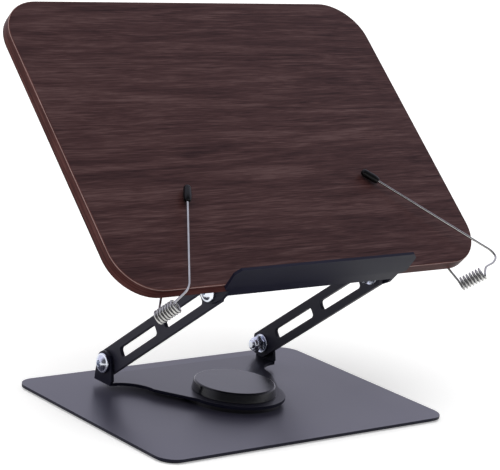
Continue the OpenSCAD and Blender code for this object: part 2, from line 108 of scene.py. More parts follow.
scene = bpy.context.scene
camera_data = bpy.data.cameras.new("photo_camera")
camera_data.sensor_width = SENSOR_MM
camera_data.lens = FOCAL_PX * SENSOR_MM / IMAGE_W
camera_data.clip_start = CLIP_NEAR_M
camera_data.clip_end = CLIP_FAR_M
camera = bpy.data.objects.new("photo_camera", camera_data)
scene.collection.objects.link(camera)
scene.camera = camera
camera.matrix_world = Matrix.Translation(EYE) @ facing
print("lens", round(camera_data.lens, 2))

# %% [markdown]
# ## Finishes
# Every finish is a small node tree. Noise in Object coordinates feeds three things: a colour ramp, so
# that no surface has one flat colour, a Map Range for the roughness, and a Bump node for the texture
# that light shows. These few helpers make the nodes, so that each finish below reads as a recipe.
# Pattern sizes are written as waves per metre, because one Blender unit is one metre here. Noise rarely
# comes near 0 or 1, so tones and roughness are spread over the middle of its range.

# %% Helpers for finishes
NOISE_LOW, NOISE_HIGH = 0.25, 0.75
TONE_LOW, TONE_HIGH = 0.3, 0.7


def new_finish(name):
    """A material with its node tree, its shader and the place on the piece."""
    material = bpy.data.materials.new(name)
    material.use_nodes = True
    tree = material.node_tree
    place = tree.nodes.new("ShaderNodeTexCoord").outputs["Object"]
    return material, tree, tree.nodes["Principled BSDF"], place


def mapped(tree, vector, scale=(1, 1, 1), turn=(0, 0, 0)):
    """The place, stretched and turned by a Mapping node."""
    node = tree.nodes.new("ShaderNodeMapping")
    node.inputs["Rotation"].default_value = turn
    node.inputs["Scale"].default_value = scale
    tree.links.new(vector, node.inputs["Vector"])
    return node.outputs["Vector"]


def noise(tree, vector, waves=1, detail=3, mix=0.5, distortion=0):
    """Cloudy noise between 0 and 1."""
    node = tree.nodes.new("ShaderNodeTexNoise")
    node.inputs["Scale"].default_value = waves
    node.inputs["Detail"].default_value = detail
    node.inputs["Roughness"].default_value = mix
    node.inputs["Distortion"].default_value = distortion
    tree.links.new(vector, node.inputs["Vector"])
    return node.outputs["Fac"]


def mixed(tree, first, second, share):
    """A blend of two values."""
    node = tree.nodes.new("ShaderNodeMix")
    node.inputs["Factor"].default_value = share
    tree.links.new(first, node.inputs["A"])
    tree.links.new(second, node.inputs["B"])
    return node.outputs["Result"]


def ramp(tree, value, stops):
    """A colour ramp; stops are (place, colour) pairs."""
    node = tree.nodes.new("ShaderNodeValToRGB")
    marks = node.color_ramp.elements
    while len(marks) < len(stops):
        marks.new(0.5)
    for mark, (place, colour) in zip(marks, stops):
        mark.position = place
        mark.color = (*colour, 1)
    tree.links.new(value, node.inputs["Fac"])
    return node.outputs["Color"]


def two_tones(tree, value, dark, light):
    """A colour ramp from a dark tone to a light one."""
    return ramp(tree, value, [(TONE_LOW, dark), (TONE_HIGH, light)])


def spread(tree, value, low, high):
    """Stretches noise over a range, for roughness."""
    node = tree.nodes.new("ShaderNodeMapRange")
    node.inputs["From Min"].default_value = NOISE_LOW
    node.inputs["From Max"].default_value = NOISE_HIGH
    node.inputs["To Min"].default_value = low
    node.inputs["To Max"].default_value = high
    tree.links.new(value, node.inputs["Value"])
    return node.outputs["Result"]


def bump(tree, shader, height, depth_mm, strength):
    """Lets noise raise the surface by a depth."""
    node = tree.nodes.new("ShaderNodeBump")
    node.inputs["Strength"].default_value = strength
    node.inputs["Distance"].default_value = depth_mm * MM
    tree.links.new(height, node.inputs["Height"])
    tree.links.new(node.outputs["Normal"], shader.inputs["Normal"])


# %% [markdown]
# The base, the turntable, the arms and the bracket are sheet steel with a dark satin powder coat.
# Powder melts into a skin with a faint orange peel, so two sizes of noise are enough: a fine one for
# the peel and a wide one for the slow change of tone. The base is a dark violet grey and the arms are a
# blue black. Flat tops look much lighter than walls, because they mirror the white studio at a low
# angle, so the colours stay dark. The arms and the bracket are duller, and a low index of refraction
# keeps their mirror weak.

# %% Powder coat
PEEL_WAVES, PEEL_DEPTH, PEEL_STRENGTH = 900, 0.02, 0.35
COAT_WAVES = 14


def powder_coat(name, dark, light, rough, ior):
    """A coat between two tones, with its range of roughness and its index of refraction."""
    material, tree, shader, place = new_finish(name)
    peel = noise(tree, place, PEEL_WAVES, detail=2)
    cloud = noise(tree, place, COAT_WAVES, detail=4)
    tree.links.new(two_tones(tree, cloud, dark, light), shader.inputs["Base Color"])
    tree.links.new(spread(tree, cloud, *rough), shader.inputs["Roughness"])
    shader.inputs["IOR"].default_value = ior
    bump(tree, shader, peel, PEEL_DEPTH, PEEL_STRENGTH)
    return material


grey_coat = powder_coat("grey_powder_coat", (0.042, 0.0405, 0.063), (0.053, 0.0515, 0.079),
                        rough=(0.3, 0.36), ior=1.5)
turntable_coat = powder_coat("turntable_powder_coat", (0.016, 0.0155, 0.026), (0.022, 0.0215, 0.035),
                             rough=(0.28, 0.34), ior=1.46)
black_coat = powder_coat("black_powder_coat", (0.024, 0.0235, 0.038), (0.032, 0.0315, 0.049),
                         rough=(0.34, 0.42), ior=1.2)
bracket_coat = powder_coat("bracket_powder_coat", (0.009, 0.009, 0.0195), (0.013, 0.013, 0.0265),
                           rough=(0.34, 0.42), ior=1.2)
cap_black = powder_coat("cap_black_satin", (0.003, 0.003, 0.006), (0.005, 0.005, 0.009),
                        rough=(0.16, 0.22), ior=1.4)
race_steel = powder_coat("blackened_steel", (0.02, 0.02, 0.022), (0.035, 0.034, 0.036),
                         rough=(0.35, 0.45), ior=1.5)
coats = (grey_coat, turntable_coat, black_coat, bracket_coat, cap_black, race_steel)
print("coats", [coat.name for coat in coats])

# %% [markdown]
# Bolts, nuts and washers are zinc plated, and the clips are bright spring wire. Both are metals, so
# their colour is the colour of the mirror. Plating is a little cloudy, drawn wire is clearer. Fine
# noise in the bump breaks the highlights the way handling marks do.

# %% Bright metals
PLATING_WAVES = 160
MARK_STRENGTH = 0.3


def bright_metal(name, dark, light, rough, mark_waves, mark_depth):
    """A metal between two tones, with fine marks that also vary its roughness."""
    material, tree, shader, place = new_finish(name)
    cloud = noise(tree, place, PLATING_WAVES, detail=4)
    marks = noise(tree, place, mark_waves)
    tree.links.new(two_tones(tree, cloud, dark, light), shader.inputs["Base Color"])
    tree.links.new(spread(tree, marks, *rough), shader.inputs["Roughness"])
    shader.inputs["Metallic"].default_value = 1
    bump(tree, shader, marks, mark_depth, MARK_STRENGTH)
    return material


zinc = bright_metal("bright_zinc", (0.62, 0.66, 0.74), (0.82, 0.85, 0.92),
                    rough=(0.18, 0.3), mark_waves=1600, mark_depth=0.02)
spring_wire = bright_metal("bright_spring_wire", (0.38, 0.378, 0.365), (0.50, 0.497, 0.48),
                           rough=(0.12, 0.18), mark_waves=400, mark_depth=0.004)
print("metals", zinc.name, spring_wire.name)

# %% [markdown]
# The tips of the clips and the pad under the base are rubber, and the washers inside the hinges are
# natural nylon. The rubber is nearly black, a low index of refraction keeps its sheen weak, and its
# grain is fine and shallow.

# %% Rubber and nylon
MOULD_WAVES = 90
GRAIN_STRENGTH = 0.5


def moulded(name, dark, light, rough, grain_waves, grain_depth, ior=1.5):
    """A moulded or pressed surface between two tones, with a grain that also varies its roughness."""
    material, tree, shader, place = new_finish(name)
    grain = noise(tree, place, grain_waves)
    cloud = noise(tree, place, MOULD_WAVES)
    tree.links.new(two_tones(tree, cloud, dark, light), shader.inputs["Base Color"])
    tree.links.new(spread(tree, grain, *rough), shader.inputs["Roughness"])
    shader.inputs["IOR"].default_value = ior
    bump(tree, shader, grain, grain_depth, GRAIN_STRENGTH)
    return material


rubber = moulded("black_rubber", (0.003, 0.003, 0.0035), (0.006, 0.006, 0.0065),
                 rough=(0.24, 0.36), grain_waves=2600, grain_depth=0.03, ior=1.3)
nylon = moulded("natural_nylon", (0.62, 0.61, 0.55), (0.72, 0.71, 0.65),
                rough=(0.4, 0.55), grain_waves=1500, grain_depth=0.02)
print("moulded", rubber.name, nylon.name)

# %% [markdown]
# The board is faced with dark walnut, whose grain runs across the stand. Wood grain is noise that is
# stretched a long way along the grain. A first Mapping node turns the place back into the board's
# frame, and the next ones stretch it: wide soft bands, then fine lines, then short dark pores. Each
# stretch gives the waves per metre across the board, up its slope and out of its face. The three are
# mixed into one value that drives the colour, and the lines and pores also dent the surface.

# %% Walnut
BANDS, LINES, PORES = (6, 75, 75), (19, 500, 500), (85, 2400, 2400)
LINE_SHARE, PORE_SHARE, DENT_SHARE = 0.5, 0.25, 0.5
DENT_DEPTH, DENT_STRENGTH = 0.05, 0.35
VENEER_SHEEN = 0.13
FACE_STOPS = [(0.38, (0.018, 0.005, 0.005)), (0.5, (0.049, 0.0195, 0.0185)), (0.62, (0.098, 0.052, 0.050))]
BACK_STOPS = [(0.38, (0.020, 0.006, 0.006)), (0.5, (0.050, 0.021, 0.020)), (0.62, (0.098, 0.053, 0.050))]


def levelled(tree, place):
    """The place, turned back into the board's frame."""
    return mapped(tree, place, turn=(-BOARD_TILT, 0, 0))


def walnut(name, stops, rough):
    """Veneer with bands, lines and pores; its dark grain is the rougher one."""
    material, tree, shader, place = new_finish(name)
    level = levelled(tree, place)
    bands = noise(tree, mapped(tree, level, BANDS), detail=4, mix=0.6, distortion=1.7)
    lines = noise(tree, mapped(tree, level, LINES), detail=5, mix=0.65, distortion=1.3)
    pores = noise(tree, mapped(tree, level, PORES), detail=2)
    grain = mixed(tree, mixed(tree, bands, lines, LINE_SHARE), pores, PORE_SHARE)
    tree.links.new(ramp(tree, grain, stops), shader.inputs["Base Color"])
    tree.links.new(spread(tree, grain, *reversed(rough)), shader.inputs["Roughness"])
    shader.inputs["Specular IOR Level"].default_value = VENEER_SHEEN
    bump(tree, shader, mixed(tree, lines, pores, DENT_SHARE), DENT_DEPTH, DENT_STRENGTH)
    return material


walnut_face = walnut("walnut_face", FACE_STOPS, rough=(0.38, 0.52))
walnut_back = walnut("walnut_back", BACK_STOPS, rough=(0.42, 0.56))
print("wood", walnut_face.name, walnut_back.name)

# %% [markdown]
# A glued-on band hides the cut edge of the board. Its print is redder than the face and streaks along
# the edge all the way round. Noise that changes almost only through the board's thickness gives such
# streaks on every side. Under it is the pressed fibre core, which the sheets and the band hide.

# %% Edge band and core
STREAKS, BLOTCHES = (9, 9, 1300), (40, 40, 240)
BLOTCH_SHARE = 0.35
STREAK_DEPTH, STREAK_STRENGTH = 0.03, 0.3
BAND_SHEEN = 0.05
BAND_STOPS = [(0.34, (0.021, 0.0055, 0.005)), (0.5, (0.066, 0.0195, 0.0175)), (0.66, (0.134, 0.053, 0.047))]


def banding(name, stops, rough):
    """A printed band that is streaked along the edge of the board."""
    material, tree, shader, place = new_finish(name)
    level = levelled(tree, place)
    streaks = noise(tree, mapped(tree, level, STREAKS), detail=4, mix=0.6)
    blotches = noise(tree, mapped(tree, level, BLOTCHES))
    grain = mixed(tree, streaks, blotches, BLOTCH_SHARE)
    tree.links.new(ramp(tree, grain, stops), shader.inputs["Base Color"])
    tree.links.new(spread(tree, grain, *rough), shader.inputs["Roughness"])
    shader.inputs["Specular IOR Level"].default_value = BAND_SHEEN
    bump(tree, shader, streaks, STREAK_DEPTH, STREAK_STRENGTH)
    return material


edge_band = banding("brown_edge_band", BAND_STOPS, rough=(0.36, 0.5))
fibre_core = moulded("pressed_fibre", (0.2, 0.12, 0.07), (0.32, 0.21, 0.13),
                     rough=(0.75, 0.9), grain_waves=700, grain_depth=0.1)
print("edge", edge_band.name, fibre_core.name)

# %% [markdown]
# ## Pieces
# Real sheet metal has no perfectly sharp edge: the blanking press and the coat round it, and that thin
# round catches the light. A copy of the CAD mesh gets this. Its loose triangles are merged, flat
# regions are dissolved back into whole faces, and every sharp edge is bevelled. The eased copy then
# stands for the CAD node. The upright faces of the base and the turntable get the darker black coat
# as painted shade, so that these walls stay darker than the tops.

# %% Eased copies of the sheet metal
SHARP_DEG, FLAT_DEG = 28, 0.4
MERGE_M = 1e-6
FULL_WEIGHT = 100
UPRIGHT = 0.8
body_of = {node: body for body, held in frame["record"]["behaviour"]["bodies"].items() for node in held}
slot_of = {row["node"]: row["material_slot"] for row in frame["record"]["subparts"]}


def add_piece(name, bm, material, body, slot, *replaced):
    """Turns a bmesh into a piece that rides on a body and stands for CAD nodes."""
    mesh = bpy.data.meshes.new(name)
    bm.to_mesh(mesh)
    bm.free()
    mesh.shade_smooth()
    mesh.set_sharp_from_angle(angle=math.radians(SHARP_DEG))
    mesh.materials.append(material)
    piece = bpy.data.objects.new(name, mesh)
    scene.collection.objects.link(piece)
    if body:
        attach(piece, body)
    if replaced:
        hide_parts(*replaced)
    return piece


def eased(node, material, width_mm, segments=2, sharp_deg=SHARP_DEG, chosen=None):
    """A copy of a CAD node with its sharp edges, or the chosen ones among them, rounded."""
    bm = bmesh.new()
    bm.from_mesh(nodes[node].data)
    bmesh.ops.remove_doubles(bm, verts=bm.verts, dist=MERGE_M)
    bmesh.ops.dissolve_limit(bm, angle_limit=math.radians(FLAT_DEG), verts=bm.verts, edges=bm.edges)
    limit = math.radians(sharp_deg)
    sharp = [e for e in bm.edges if len(e.link_faces) == 2 and e.calc_face_angle() > limit]
    sharp = [e for e in sharp if chosen is None or chosen(e)]
    bmesh.ops.bevel(bm, geom=sharp, offset=width_mm * MM, offset_type="OFFSET", affect="EDGES",
                    segments=segments, profile=0.5, material=-1, clamp_overlap=True)
    bmesh.ops.dissolve_degenerate(bm, edges=bm.edges, dist=MERGE_M)
    piece = add_piece(node + "_eased", bm, material, body_of[node], slot_of[node], node)
    even = piece.modifiers.new("flat_faces_stay_flat", "WEIGHTED_NORMAL")
    even.keep_sharp = True
    even.weight = FULL_WEIGHT
    print(piece.name, "edges eased", len(sharp), "faces", len(piece.data.polygons))
    return piece


def second_finish(piece, material, faces):
    """Gives some faces of a piece another finish."""
    piece.data.materials.append(material)
    for face in faces:
        face.material_index = 1
    print(piece.name, material.name, "on", len(faces), "of", len(piece.data.polygons), "faces")


def painted_shade_walls(piece):
    """Gives the upright faces of a piece the darker coat, as painted shade."""
    walls = [f for f in piece.data.polygons if abs(f.normal.z) < UPRIGHT]
    second_finish(piece, bracket_coat, walls)


# The darker coat on the upright faces of the base and the turntable is painted shade.
painted_shade_walls(eased("base_plate", grey_coat, width_mm=0.35, segments=3))
painted_shade_walls(eased("swivel_plate", turntable_coat, width_mm=0.4, segments=3))
eased("swivel_cover", cap_black, width_mm=0.35, segments=3, sharp_deg=15)
for arm in ("left_arm", "right_arm"):
    eased(arm, black_coat, width_mm=0.35)
eased("board_bracket", bracket_coat, width_mm=0.35)
eased("clip_clamps", black_coat, width_mm=0.3)

# %% [markdown]
# The band round the board is rounded over on its outer edges only, because on the inside it is glued
# flush to the face. The faces of the bevel that look forwards get a paler finish, which draws a pale
# line all the way round the board.

# %% The band round the board
OUTER_WALL_M = 0.02
PALE_FROM, PALE_TO = 0.35, 0.98
board_middle = on_board((0, BOARD_H / 2, -BOARD_T / 2))
out_of_face = along_board((0, 0, 1))
pale_arris = moulded("pale_arris_finish", (0.22, 0.13, 0.115), (0.34, 0.22, 0.20),
                    rough=(0.35, 0.5), grain_waves=900, grain_depth=0.02)


def on_outside(edge):
    """True for an edge next to a wall that looks away from the middle of the board."""
    reach = [(face.calc_center_median() - board_middle).dot(face.normal) for face in edge.link_faces]
    return max(reach) > OUTER_WALL_M


band = eased("edge_band", edge_band, width_mm=0.7, segments=4, chosen=on_outside)
pale = [f for f in band.data.polygons if PALE_FROM < f.normal.dot(out_of_face) < PALE_TO]
second_finish(band, pale_arris, pale)

# %% [markdown]
# ## Fasteners
# Everything round is turned, as on a lathe: one circle of edges is extruded through a list of places
# along the axis and radii. A radius may also depend on the angle. That turns the same ring into the
# hexagon of a nut or a socket, or the cross of a screw, without cutting anything with a boolean. A ring
# that ends where it began is bridged to its first ring and makes a tube, and any other is closed with a
# face at each end. The rounds in such a list are quarters of ellipses.

# %% The lathe
SIDES = 48


def ring_edges(verts):
    """The edges of a ring of vertices, each of them once and in the same order every run."""
    return list(dict.fromkeys(e for v in verts for e in v.link_edges))


def extruded(bm, ring):
    """Extrudes a ring of edges in place and returns the new ring's vertices and edges."""
    made = bmesh.ops.extrude_edge_only(bm, edges=ring)["geom"]
    verts = [g for g in made if isinstance(g, bmesh.types.BMVert)]
    return verts, [g for g in made if isinstance(g, bmesh.types.BMEdge) and g.is_boundary]


def put_ring(verts, place, along, radius):
    """Moves a ring's vertices to a place along the axis; radius and place may depend on the angle."""
    back = place.inverted()
    for v in verts:
        spot = back @ v.co
        angle = math.atan2(spot.y, spot.x)
        r = radius(angle) if callable(radius) else radius
        h = along(angle) if callable(along) else along
        v.co = place @ (Vector((math.cos(angle) * r, math.sin(angle) * r, h)) * MM)


def turned(bm, origin, heading, profile, closed=False):
    """One circle extruded through (along, radius) places in millimetres."""
    place = Matrix.Translation(origin) @ heading.to_track_quat("Z", "Y").to_matrix().to_4x4()
    verts = bmesh.ops.create_circle(bm, segments=SIDES, radius=MM, matrix=place)["verts"]
    first = ring_edges(verts)
    put_ring(verts, place, *profile[0])
    ring = first
    for along, radius in profile[1:]:
        verts, ring = extruded(bm, ring)
        put_ring(verts, place, along, radius)
    if closed:
        bmesh.ops.bridge_loops(bm, edges=first + ring)
    else:
        bmesh.ops.contextual_create(bm, geom=first)
        bmesh.ops.contextual_create(bm, geom=ring)


def quarter(middle, size, steps=2):
    """Places on a quarter of an ellipse, from its end to its widest place."""
    turns = [math.pi / 2 * k / steps for k in range(steps + 1)]
    return [(middle[0] + size[0] * math.cos(a), middle[1] + size[1] * math.sin(a)) for a in turns]


def rim(first, last, radius, soft):
    """Places over a rim from its first face to its last, with both edges rounded."""
    reach = math.copysign(soft, last - first)
    rise = quarter((first + reach, radius - soft), (-reach, soft))
    fall = quarter((last - reach, radius - soft), (reach, soft))
    return [*rise, *reversed(fall)]


def hexagon(across_flats):
    """The radius of a hexagon at an angle."""
    return lambda angle: across_flats / 2 / math.cos((angle + math.pi / 6) % (math.pi / 3) - math.pi / 6)


def cross(length, half_width):
    """The radius of a plus sign at an angle."""
    def radius(angle):
        a = abs((angle + math.pi / 4) % (math.pi / 2) - math.pi / 4)
        if length * math.tan(a) < half_width:
            return length / math.cos(a)
        return half_width / math.sin(a)
    return radius


# %% [markdown]
# Each hinge is held by a flanged bolt with a domed head and a hexagon socket, a washer, and a lock nut.
# Places along the axis count from the middle of the stand, from the ear under the bolt's flange inwards
# to the end of its thread. That end stands out of the nut, so it gets its grooves.

# %% Profile of the hinge bolts
EAR_X, WASHER_X = 74.7, 68.65
WASHER_T, NUT_T, COLLAR_T, BOLT_OUT = 1.2, 6.0, 2.0, 1.5
BOLT_R, BOLT_PLAY, BOLT_END_CUT = 3.0, 0.05, 0.6
THREAD_LEAD, THREAD_STEP, THREAD_STEPS, THREAD_DEEP = 0.35, 0.25, 9, 0.4
FLANGE_T, FLANGE_R, FLANGE_SOFT = 2.0, 7.0, 0.5
HEAD_T, HEAD_R = 3.2, 5.5
HEAD_FILLET = ((0.02, 0.2), (0.15, -0.02))
DOME_RADII = (5.3, 5.0, 4.6, 4.1, 3.5, 2.9)
SOCKET_AF, SOCKET_DEEP, SOCKET_RIM_R, SOCKET_CHAMFER = 4.0, 2.2, 2.6, 0.25
DRILL_T, DRILL_R = 0.3, 0.6

nut_x = WASHER_X - WASHER_T
nut_end = nut_x - NUT_T
collar_end = nut_end - COLLAR_T
bolt_end = collar_end - BOLT_OUT
thread_start = bolt_end + THREAD_LEAD
flange_x = EAR_X + FLANGE_T
head_x = flange_x + HEAD_T
shank_r = BOLT_R - BOLT_PLAY
root_r = BOLT_R - THREAD_DEEP
dome_r = (HEAD_R ** 2 + HEAD_T ** 2) / (2 * HEAD_T)


def on_dome(radius):
    """A place on the bolt's dome at a radius."""
    return head_x - dome_r + math.sqrt(dome_r ** 2 - radius ** 2), radius


thread = [(thread_start + THREAD_STEP * k, root_r if k % 2 else shank_r) for k in range(THREAD_STEPS)]
fillet = [(flange_x + out, HEAD_R + wider) for out, wider in HEAD_FILLET]
dome = [on_dome(radius) for radius in DOME_RADII]
socket_x = on_dome(SOCKET_RIM_R)[0]
socket = [(socket_x, hexagon(SOCKET_AF + 2 * SOCKET_CHAMFER)),
          (socket_x - SOCKET_CHAMFER, hexagon(SOCKET_AF)), (socket_x - SOCKET_DEEP, hexagon(SOCKET_AF)),
          (socket_x - SOCKET_DEEP - DRILL_T, DRILL_R)]
BOLT = [(bolt_end, BOLT_R - BOLT_END_CUT), *thread, (nut_x, shank_r), (EAR_X, shank_r),
        *rim(EAR_X, flange_x, FLANGE_R, FLANGE_SOFT), *fillet, *dome, *socket]
print("bolt from", round(bolt_end, 2), "to", round(head_x, 2), "mm in", len(BOLT), "rings")

# %% [markdown]
# The washer has a rolled rim, and the nut has the chamfer that lets a spanner slide on: the corners of
# the hexagon are cut back more than its flats. Its round collar holds the ring that locks the thread.

# %% Profiles of the washers and nuts
WASHER_R, WASHER_SOFT = 7.0, 0.4
WASHER_ROLL, WASHER_DISH = ((0.05, 6.3), (0.3, 5.95)), 0.35
NUT_AF, NUT_PLAY = 10.0, 0.04
CHAMFER_R, CHAMFER_SLOPE = 4.75, math.tan(math.radians(30))
COLLAR_R, COLLAR_SOFT, COLLAR_FILLET, COLLAR_LIP = 4.5, 0.6, 0.15, 0.9
SUNK_T, SUNK_IN = 0.3, 1.0

washer_bore_r = BOLT_R + BOLT_PLAY
nut_bore_r = BOLT_R + NUT_PLAY
nut_hex = hexagon(NUT_AF)


def cut_corners(face, way):
    """A nut's face at an angle: it slopes back towards the corners of the hexagon."""
    return lambda angle: face + way * (nut_hex(angle) - CHAMFER_R) * CHAMFER_SLOPE


roll = [(nut_x + out, radius) for out, radius in WASHER_ROLL]
WASHER = [(WASHER_X, washer_bore_r), *rim(WASHER_X, nut_x, WASHER_R, WASHER_SOFT), *roll,
          (nut_x + WASHER_DISH, washer_bore_r)]

collar_round = quarter((collar_end + COLLAR_SOFT, COLLAR_R - COLLAR_SOFT), (-COLLAR_SOFT, COLLAR_SOFT))
collar = [(nut_end, COLLAR_R + COLLAR_FILLET), (nut_end - COLLAR_FILLET, COLLAR_R),
          *reversed(collar_round), (collar_end, COLLAR_R - COLLAR_LIP),
          (collar_end + SUNK_T, COLLAR_R - SUNK_IN), (collar_end + SUNK_T, nut_bore_r)]
NUT = [(nut_x, nut_bore_r), (nut_x, CHAMFER_R), (cut_corners(nut_x, -1), nut_hex),
       (cut_corners(nut_end, 1), nut_hex), (nut_end, CHAMFER_R), *collar]
print("washer rings", len(WASHER), "nut rings", len(NUT))

# %% [markdown]
# The two hinges have the same hardware, and each of its pieces stands on both sides of the stand. So
# one function turns a profile twice, along x and against it.

# %% Hinge bolts, washers and nuts


def hinge_set(name, profile, closed, hinge, body, node):
    """The same turned piece on both sides of a hinge."""
    bm = bmesh.new()
    for side in (-1, 1):
        turned(bm, Vector((0, hinge.y, hinge.z)), Vector((side, 0, 0)), profile, closed)
    bmesh.ops.recalc_face_normals(bm, faces=bm.faces)
    piece = add_piece(name, bm, zinc, body, "zinc", node)
    print(piece.name, "faces", len(piece.data.polygons))


for where, joint, body in (("lower", "arm_lift", "swivel"), ("upper", "board_tilt", "board")):
    hinge_set(where + "_bolts_turned", BOLT, False, hinges[joint], body, where + "_hinge_bolts")
    hinge_set(where + "_washers_rolled", WASHER, True, hinges[joint], body, where + "_hinge_washers")
    hinge_set(where + "_nuts_chamfered", NUT, True, hinges[joint], body, where + "_lock_nuts")

# %% [markdown]
# The bracket and the clamps are screwed to the back of the board with pan-head screws. They show only
# from behind, but there each one is looked at: a low dome with a cross recess. Its forms are shares of
# the head's radius and height, so one profile serves both sizes of screw.

# %% Screws behind the board
SCREW_END, BRACKET_T = 5.5, 2.0
BRACKET_SCREW_X, BRACKET_SCREW_U = (-48, -16, 16, 48), 26
SCREW_POINT = ((0, 0.2), (1.2, 0.85), (2, 1))
SEAT, PAN_START, PAN_FLAT, PAN_STEPS = 0.96, 0.2, 0.56, 4
SLOT_LENGTH, SLOT_HALF, SLOT_TAPER = 0.45, 0.13, 0.8
SLOT_FLOOR, SLOT_POINT, SLOT_POINT_R = 0.35, 0.3, 0.5


def pan_screw(head_r, head_t, shank_r, length):
    """Profile of a pan-head screw; its head starts at 0 and looks along the axis."""
    point = [(-length + out, shank_r * share) for out, share in SCREW_POINT]
    pan = quarter((head_t * PAN_START, head_r * PAN_FLAT),
                  (head_t * (1 - PAN_START), head_r * (1 - PAN_FLAT)), PAN_STEPS)
    slot, half = head_r * SLOT_LENGTH, head_r * SLOT_HALF
    recess = [(head_t, cross(slot, half)),
              (head_t * SLOT_FLOOR, cross(slot * SLOT_TAPER, half * SLOT_TAPER)),
              (head_t * SLOT_POINT, half * SLOT_POINT_R)]
    return [*point, (0, shank_r), (0, head_r * SEAT), *reversed(pan), *recess]


def drive_screws(name, node, spots, surface_n, profile):
    """Screws that stand on a surface behind the board, at (x, u) spots."""
    bm = bmesh.new()
    for x, u in spots:
        turned(bm, on_board((x, u, surface_n)), along_board((0, 0, -1)), profile)
    bmesh.ops.recalc_face_normals(bm, faces=bm.faces)
    piece = add_piece(name, bm, zinc, "board", "zinc", node)
    print(piece.name, "screws", len(spots), "faces", len(piece.data.polygons))


bracket_spots = [(x, BRACKET_SCREW_U) for x in BRACKET_SCREW_X]
drive_screws("bracket_screws_crossed", "bracket_screws", bracket_spots, -BOARD_T - BRACKET_T,
             pan_screw(head_r=3.5, head_t=1.8, shank_r=1.75, length=BRACKET_T + SCREW_END))

# %% [markdown]
# The turntable runs on steel balls between its two races. A ball is a true sphere, and an icosphere
# spreads its faces evenly, with no poles. The box of the CAD node gives the ball's size and the circle
# that the balls run on.

# %% Bearing balls
BALL_COUNT = 16
ball_low, ball_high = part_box("bearing_balls")
ball_r = (ball_high[2] - ball_low[2]) / 2
half_step = math.pi / BALL_COUNT
track_r = ((ball_high[0] - ball_low[0]) / 2 - ball_r) / math.cos(half_step)
track_middle = (Vector(ball_low) + Vector(ball_high)) / 2
bm = bmesh.new()
for k in range(BALL_COUNT):
    a = half_step * (2 * k + 1)
    spot = track_middle + Vector((math.cos(a), math.sin(a), 0)) * track_r
    bmesh.ops.create_icosphere(bm, subdivisions=3, radius=ball_r, matrix=Matrix.Translation(spot))
balls = add_piece("bearing_balls_round", bm, zinc, "base", "zinc", "bearing_balls")
print(balls.name, "radius", round(ball_r / MM, 2), "mm, track", round(track_r / MM, 2), "mm")

# %% [markdown]
# The other CAD nodes already have the right shape: flat sheets, races and rivets. They only get their
# finish, which goes into the material slot of the node's own mesh.

# %% Finishes on the plain nodes
PLAIN = {
    "base_pad": rubber, "lower_race": race_steel, "upper_race": race_steel, "race_rivets": zinc,
    "swivel_rivets": zinc, "pivot_stud": zinc, "lower_friction_washers": nylon,
    "upper_friction_washers": nylon, "board_core": fibre_core, "front_sheet": walnut_face,
    "back_sheet": walnut_back,
}
for node, material in PLAIN.items():
    nodes[node].data.materials.clear()
    nodes[node].data.materials.append(material)
print("plain nodes", len(PLAIN))

# %% [markdown]
# ## Page clips
# Each clip is one length of round spring wire: a tail clamped behind the board, a coil below its bottom
# edge and a long arm that presses against the board. A curve with a bevel would do, but extruding one
# ring of edges along the route keeps full control of the bends. The route is a list of corners in the
# board's frame, and each corner is turned into a short curve, as a bending tool leaves it.

# %% Wire along a route
WIRE_D = 1.6
WIRE_SIDES = 16
BEND_CUT = 3.0
BEND_STEPS = 10
BEND_SHARE, FIRST_SHARE = 0.48, 0.95


def rounded_route(route):
    """The route's corners turned into short curves, which take no more than a share of each straight."""
    route = [Vector(p) for p in route]
    path = [route[0]]
    for i in range(1, len(route) - 1):
        corner = route[i]
        back, ahead = route[i - 1] - corner, route[i + 1] - corner
        share = FIRST_SHARE if i == 1 else BEND_SHARE
        a = corner + back * min(BEND_CUT / back.length, share)
        b = corner + ahead * min(BEND_CUT / ahead.length, BEND_SHARE)
        for k in range(BEND_STEPS + 1):
            f = k / BEND_STEPS
            path.append(a * (1 - f) ** 2 + corner * (2 * f * (1 - f)) + b * f * f)
    path.append(route[-1])
    return [on_board(p) for p in path]


def wire_ring(bm, middle, heading):
    """A ring of edges square to a heading."""
    turn = heading.to_track_quat("Z", "Y").to_matrix().to_4x4()
    made = bmesh.ops.create_circle(bm, segments=WIRE_SIDES, radius=WIRE_D / 2 * MM,
                                   matrix=Matrix.Translation(middle) @ turn)
    return ring_edges(made["verts"])


def draw_wire(bm, ring, path):
    """Extrudes a ring along a path and turns it at every point."""
    steps = [(b - a).normalized() for a, b in zip(path, path[1:])]
    headings = [steps[0]] + [(a + b).normalized() for a, b in zip(steps, steps[1:])] + [steps[-1]]
    for i in range(1, len(path)):
        verts, ring = extruded(bm, ring)
        turn = headings[i - 1].rotation_difference(headings[i]).to_matrix()
        bmesh.ops.rotate(bm, verts=verts, cent=path[i - 1], matrix=turn)
        bmesh.ops.translate(bm, verts=verts, vec=path[i] - path[i - 1])
    return ring


def close_wire(bm):
    """Caps both ends and turns the faces outwards."""
    bmesh.ops.holes_fill(bm, edges=[e for e in bm.edges if e.is_boundary], sides=WIRE_SIDES)
    bmesh.ops.recalc_face_normals(bm, faces=bm.faces)
